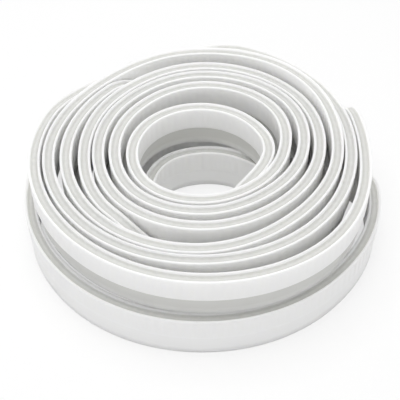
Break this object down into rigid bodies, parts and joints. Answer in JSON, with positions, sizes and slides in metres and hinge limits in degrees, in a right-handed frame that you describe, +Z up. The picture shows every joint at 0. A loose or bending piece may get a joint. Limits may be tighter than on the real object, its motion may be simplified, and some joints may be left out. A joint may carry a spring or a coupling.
{
  "type": "pool vacuum hose",
  "caption": "Flat ribbed white hose wound on edge in two stacked layers, with a plain cuff on one end and a swivel cuff on the other.",
  "frame": {"origin": "on the floor, at the middle of the whole part's outline in plan", "axes": "+Z up along the coil's axis; the two cuffs lie behind the coil, at +Y"},
  "size_m": [0.3418, 0.397, 0.0996],
  "materials": {
    "hose": "soft white EVA, satin",
    "cuff": "moulded EVA, fine satin",
    "collar": "soft grey elastomer",
    "washer": "turned acetal",
    "seal": "black nitrile"
  },
  "bodies": {
    "hose": {"coil": "hose", "swivel_hose_end": "hose", "plain_hose_end": "hose", "plain_cuff": "cuff", "plain_collar": "collar", "swivel_insert": "cuff", "swivel_washer": "washer", "swivel_seal": "seal", "swivel_ring": "washer", "swivel_collar": "collar"},
    "swivel": {"swivel_cuff": "cuff"}
  },
  "joints": [
    {"name": "cuff_turn", "type": "hinge", "parent": "hose", "child": "swivel", "pos_m": [0.05291, 0.15478, 0.0225], "axis": [-0.9135, 0.4067, 0], "continuous": true}
  ]
}
